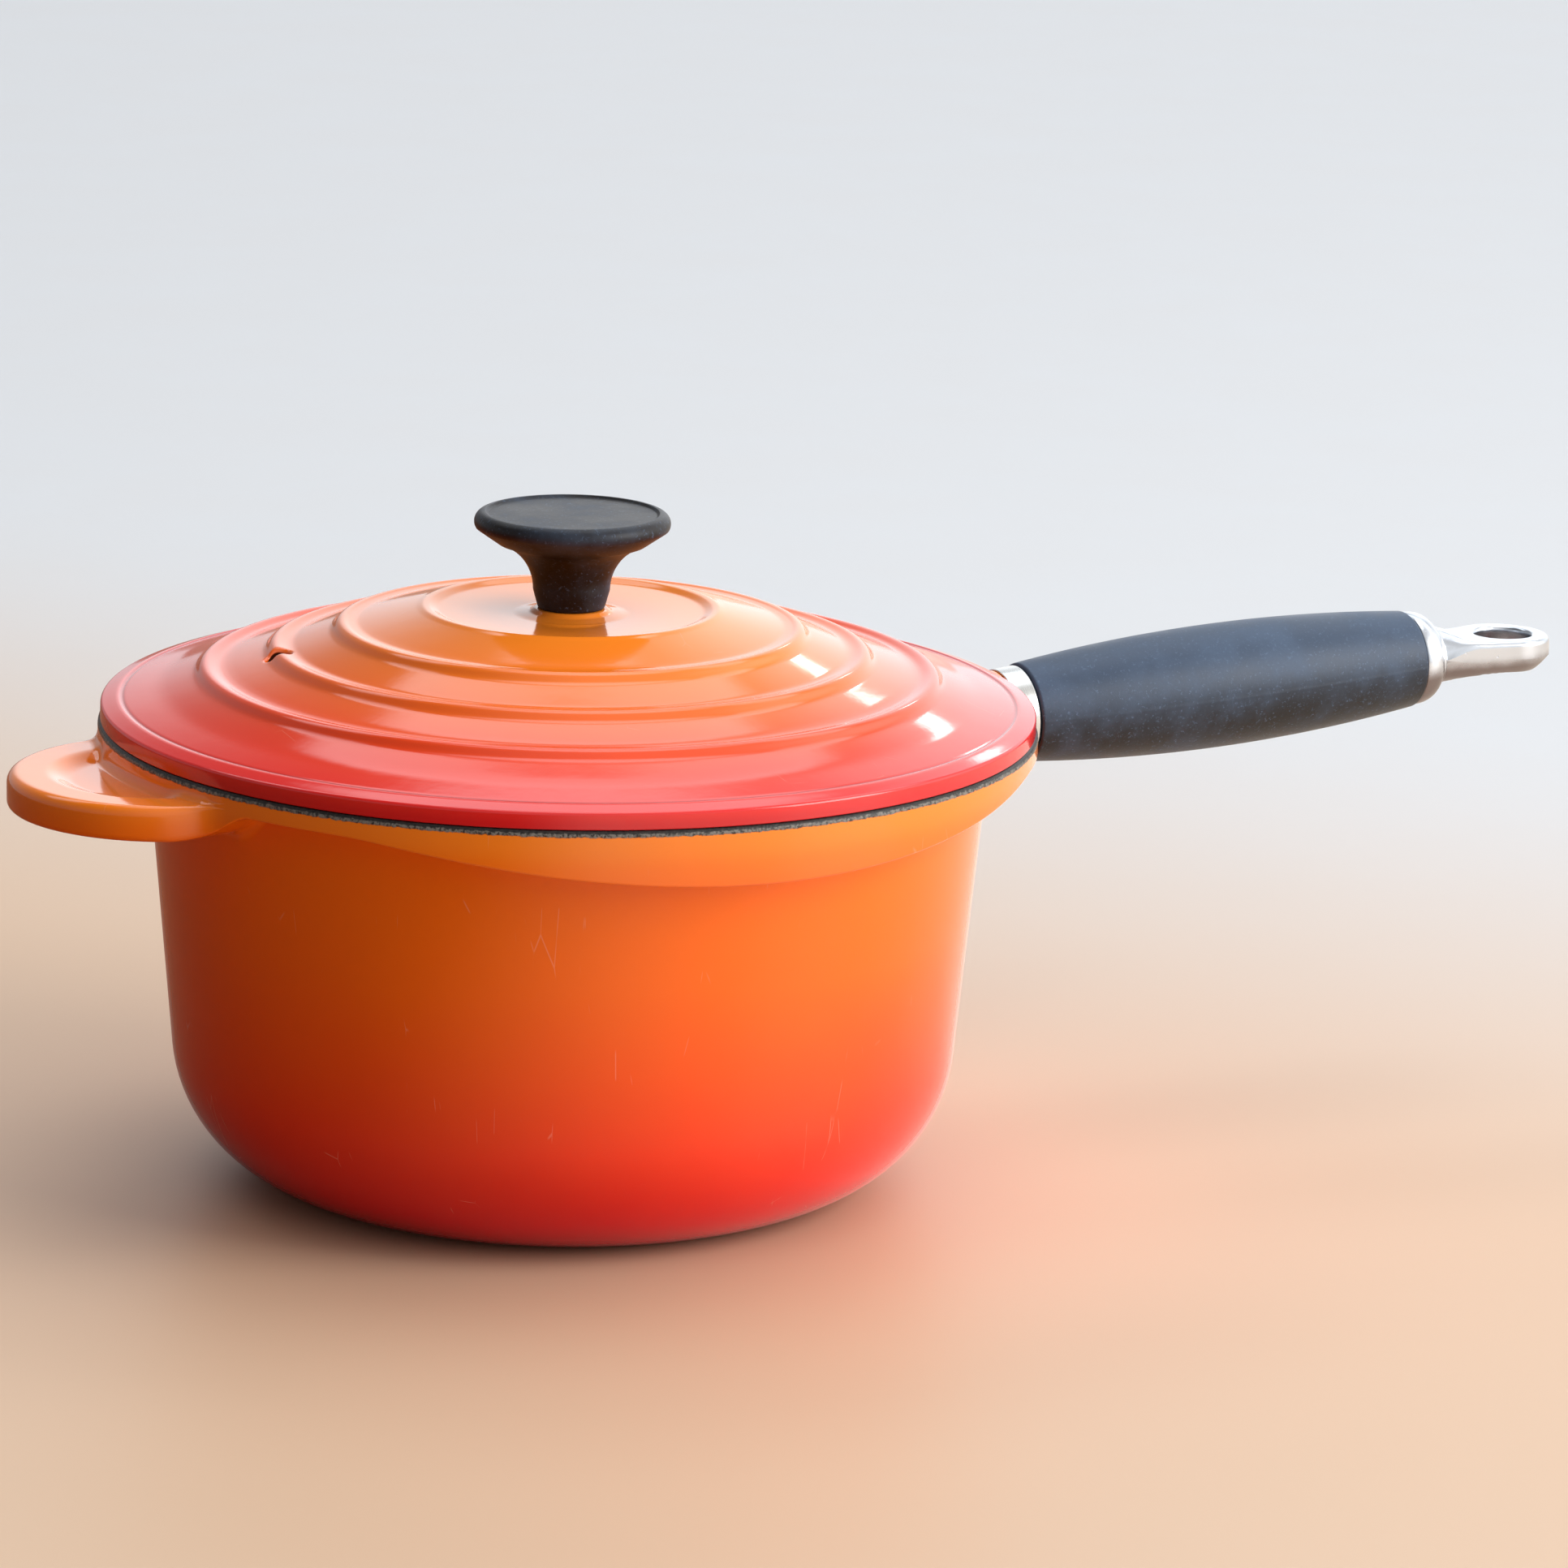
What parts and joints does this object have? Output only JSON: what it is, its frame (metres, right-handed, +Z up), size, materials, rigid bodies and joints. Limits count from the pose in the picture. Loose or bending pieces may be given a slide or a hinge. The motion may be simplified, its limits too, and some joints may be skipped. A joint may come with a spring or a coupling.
{
  "type": "lidded saucepan",
  "caption": "Enamelled cast iron saucepan with a ringed lid, screwed knob, helper tab, two concealed pour lips and a long grip ending in a hanging eye.",
  "frame": {"origin": "middle of the flat base, on the surface the pan stands on", "axes": "+Z up, +X along the long handle, the helper tab towards -X"},
  "size_m": [0.3972, 0.2148, 0.1554],
  "materials": {
    "pot_enamel": "glossy vitreous enamel, orange at the rim shading to red at the base",
    "ferrule_steel": "brushed round its axis",
    "grip_plastic": "satin black phenolic with a fine speckle",
    "eye_aluminium": "polished casting",
    "rod_steel": "plain steel",
    "lid_enamel": "glossy vitreous enamel, orange in the middle shading to red at the edge",
    "knob_plastic": "satin black phenolic",
    "insert_brass": "turned",
    "screw_steel": "zinc plated"
  },
  "bodies": {
    "pot": {"pot_body": "pot_enamel", "handle_ferrule": "ferrule_steel", "handle_grip": "grip_plastic", "hanging_eye": "eye_aluminium", "tie_rod": "rod_steel"},
    "lid": {"lid": "lid_enamel", "knob": "knob_plastic", "knob_insert": "insert_brass", "knob_screw": "screw_steel", "knob_washer": "screw_steel"}
  },
  "joints": [
    {"name": "lid_lift", "type": "slide", "parent": "pot", "child": "lid", "axis": [0, 0, 1], "range_m": [0, 0.12]}
  ]
}
